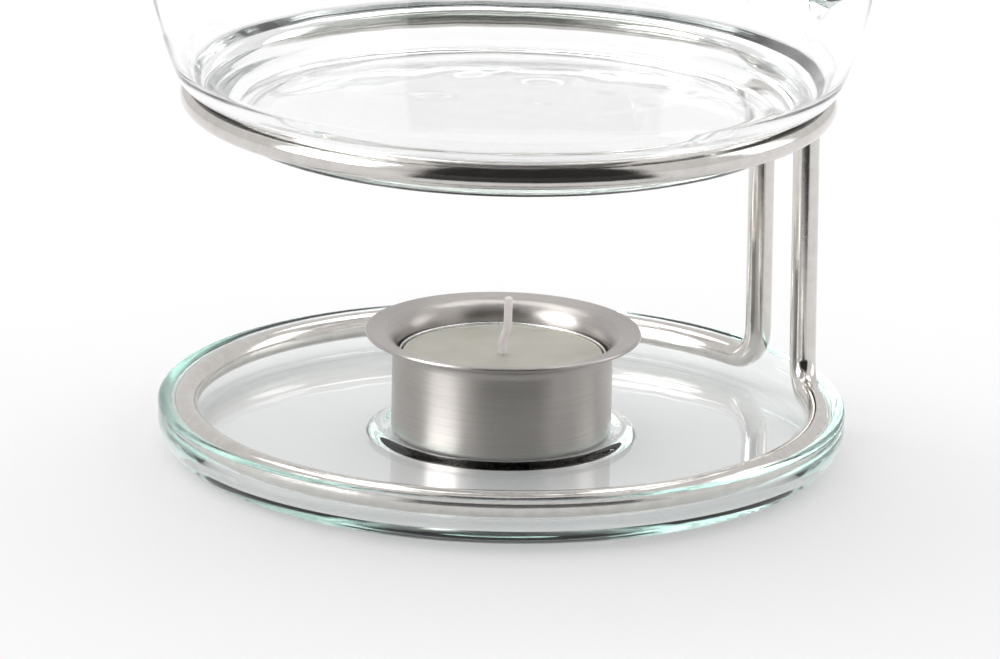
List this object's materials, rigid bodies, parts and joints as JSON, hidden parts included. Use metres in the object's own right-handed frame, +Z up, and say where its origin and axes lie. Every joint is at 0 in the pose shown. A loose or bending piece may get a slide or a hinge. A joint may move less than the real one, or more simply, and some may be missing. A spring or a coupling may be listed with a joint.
{
  "type": "glass teapot on a tealight warmer",
  "caption": "Clear glass teapot with lid and infuser, resting on a bent wire tealight warmer that stands in a glass dish with a steel candle cup.",
  "frame": {"origin": "on the warmer's axis, on the table, at the flat foot of the glass dish", "axes": "+Z up along the common axis of dish, warmer, candle and pot; the spout points along -X and the handle along +X"},
  "size_m": [0.2236, 0.1366, 0.1966],
  "materials": {
    "borosilicate_glass": "clear polished",
    "dish_glass": "clear with green edges",
    "wire_steel": "polished satin",
    "cup_steel": "fine circumferential brushing",
    "infuser_steel": "satin, perforated",
    "shell_aluminium": "bright thin foil",
    "candle_wax": "smooth paraffin wax",
    "wick_cotton": "braided cotton"
  },
  "bodies": {
    "plate": {"base_plate": "dish_glass", "plate_bead": "dish_glass"},
    "frame": {"wire_frame": "wire_steel"},
    "holder": {"candle_holder": "cup_steel"},
    "tealight": {"tealight_shell": "shell_aluminium", "wax": "candle_wax", "wick": "wick_cotton", "wick_sustainer": "shell_aluminium"},
    "pot": {"pot_body": "borosilicate_glass", "pot_shoulder": "borosilicate_glass", "pot_neck": "borosilicate_glass", "spout": "borosilicate_glass", "handle": "borosilicate_glass"},
    "infuser": {"infuser_rim": "infuser_steel", "infuser_basket": "infuser_steel", "infuser_base": "infuser_steel"},
    "lid": {"lid": "borosilicate_glass", "lid_skirt": "borosilicate_glass", "lid_knob": "borosilicate_glass"}
  },
  "joints": [
    {"name": "frame_lift", "type": "slide", "parent": "plate", "child": "frame", "axis": [0, 0, 1], "range_m": [0, 0.08]},
    {"name": "holder_lift", "type": "slide", "parent": "plate", "child": "holder", "axis": [0, 0, 1], "range_m": [0, 0.008]},
    {"name": "tealight_lift", "type": "slide", "parent": "holder", "child": "tealight", "axis": [0, 0, 1], "range_m": [0, 0.022]},
    {"name": "pot_lift", "type": "slide", "parent": "frame", "child": "pot", "axis": [0, 0, 1], "range_m": [0, 0.06]},
    {"name": "infuser_lift", "type": "slide", "parent": "pot", "child": "infuser", "axis": [0, 0, 1], "range_m": [0, 0.08]},
    {"name": "lid_lift", "type": "slide", "parent": "infuser", "child": "lid", "axis": [0, 0, 1], "range_m": [0, 0.05]}
  ]
}
